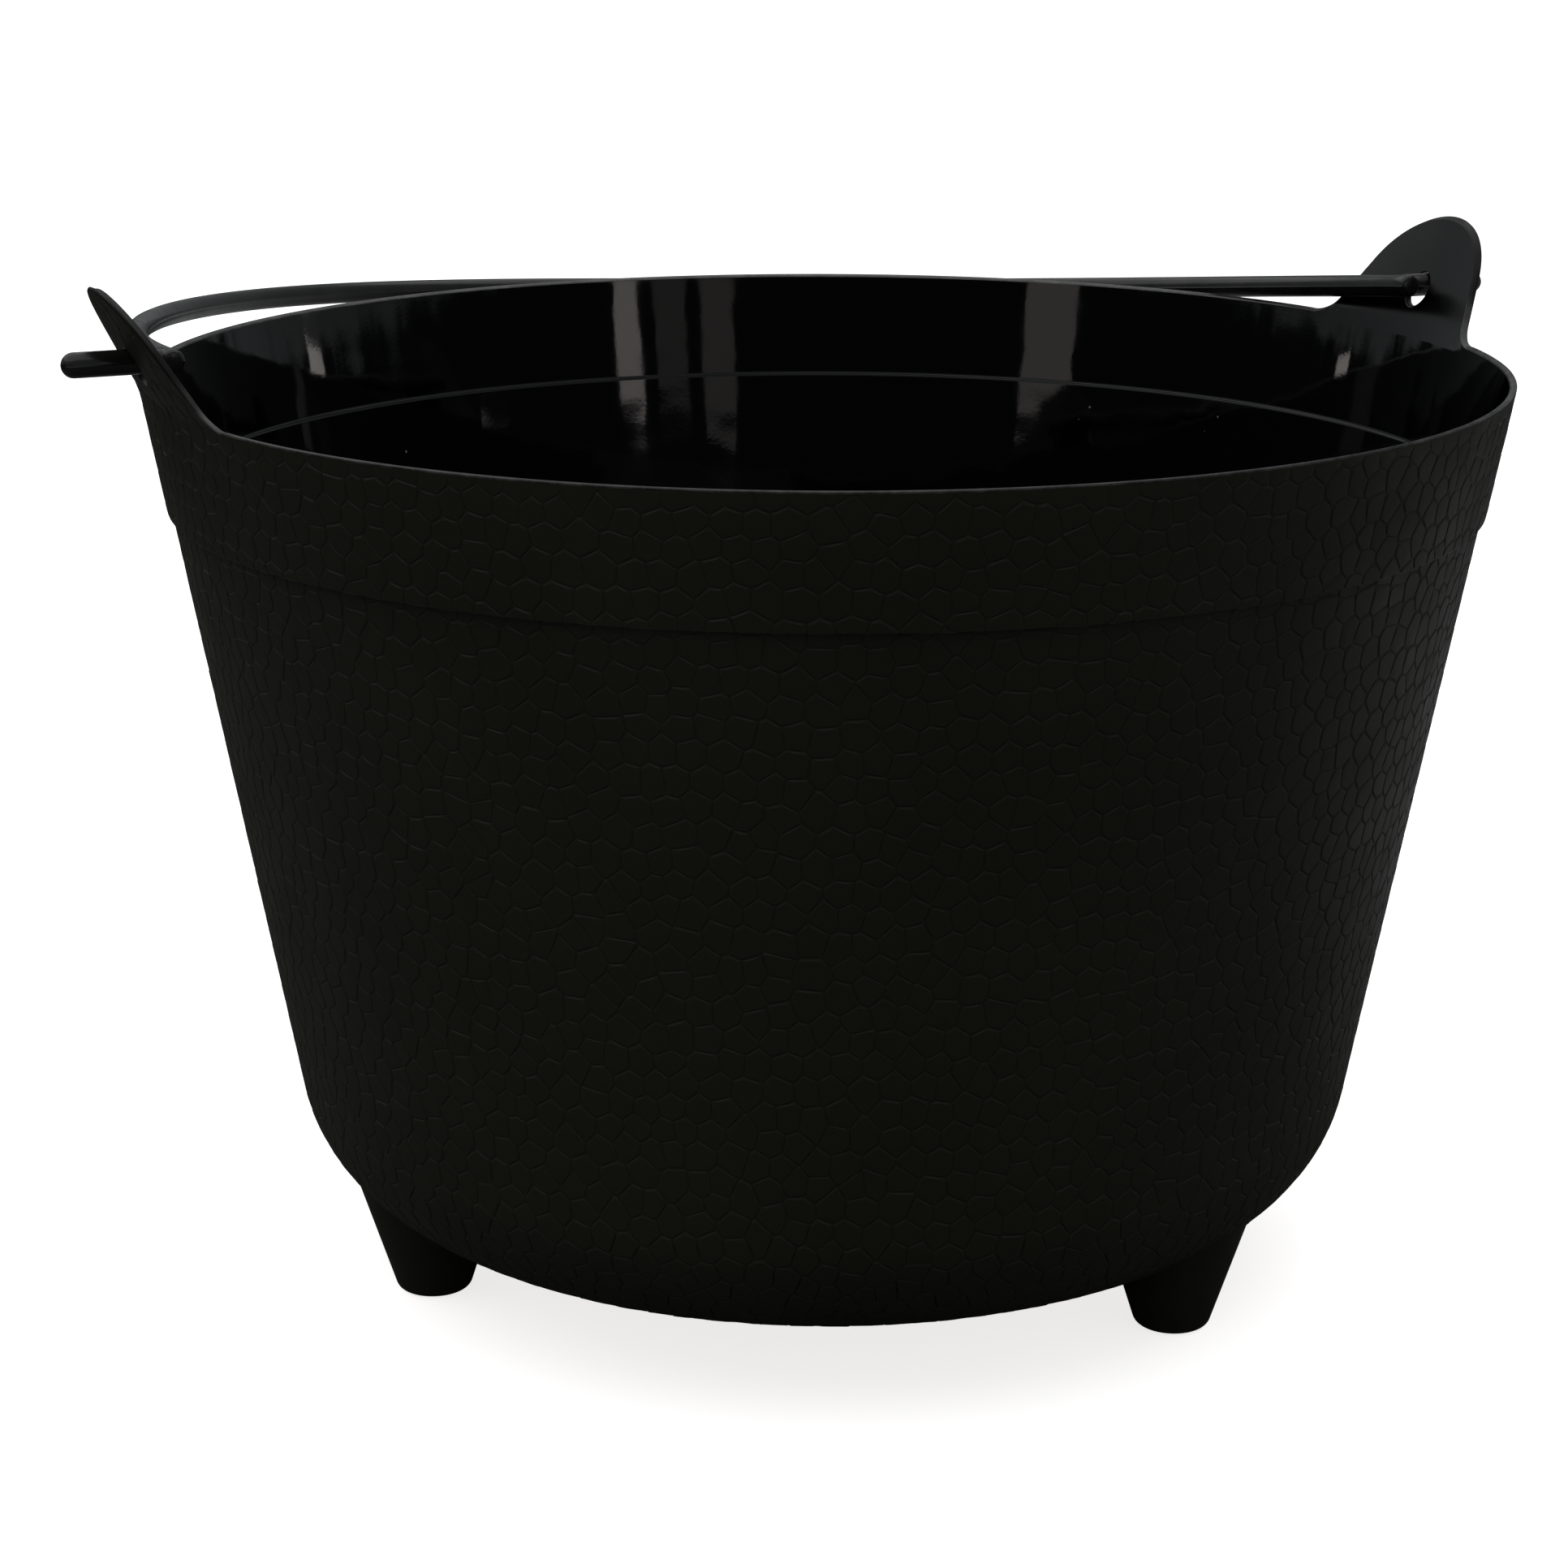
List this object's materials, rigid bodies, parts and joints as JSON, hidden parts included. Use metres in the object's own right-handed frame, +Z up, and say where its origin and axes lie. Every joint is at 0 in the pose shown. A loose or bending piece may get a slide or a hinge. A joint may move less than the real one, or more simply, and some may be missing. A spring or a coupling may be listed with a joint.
{
  "type": "florist bucket",
  "caption": "Round tapered plastic bucket for cut flowers, with a cellular outside, a glossy inside, two ears, a swinging bail handle and short tapered feet.",
  "frame": {"origin": "on the bucket's axis, level with the surface that the feet stand on", "axes": "+X through the two ear holes, along the bail's pivot axis; +Y towards the side that the bail is folded down to; +Z up, out of the bucket's mouth"},
  "size_m": [0.407, 0.408, 0.2749],
  "materials": {
    "shell_plastic": "satin outside with a moulded cellular relief, glossy inside",
    "bail_plastic": "semi-gloss moulded rod",
    "foot_plastic": "smooth satin"
  },
  "bodies": {
    "bucket": {"shell": "shell_plastic", "foot_left": "foot_plastic", "foot_front": "foot_plastic", "foot_back": "foot_plastic"},
    "handle": {"bail": "bail_plastic"}
  },
  "joints": [
    {"name": "bail_swing", "type": "hinge", "parent": "bucket", "child": "handle", "pos_m": [0, 0, 0.2555], "axis": [1, 0, 0], "range_deg": [0, 190]}
  ]
}
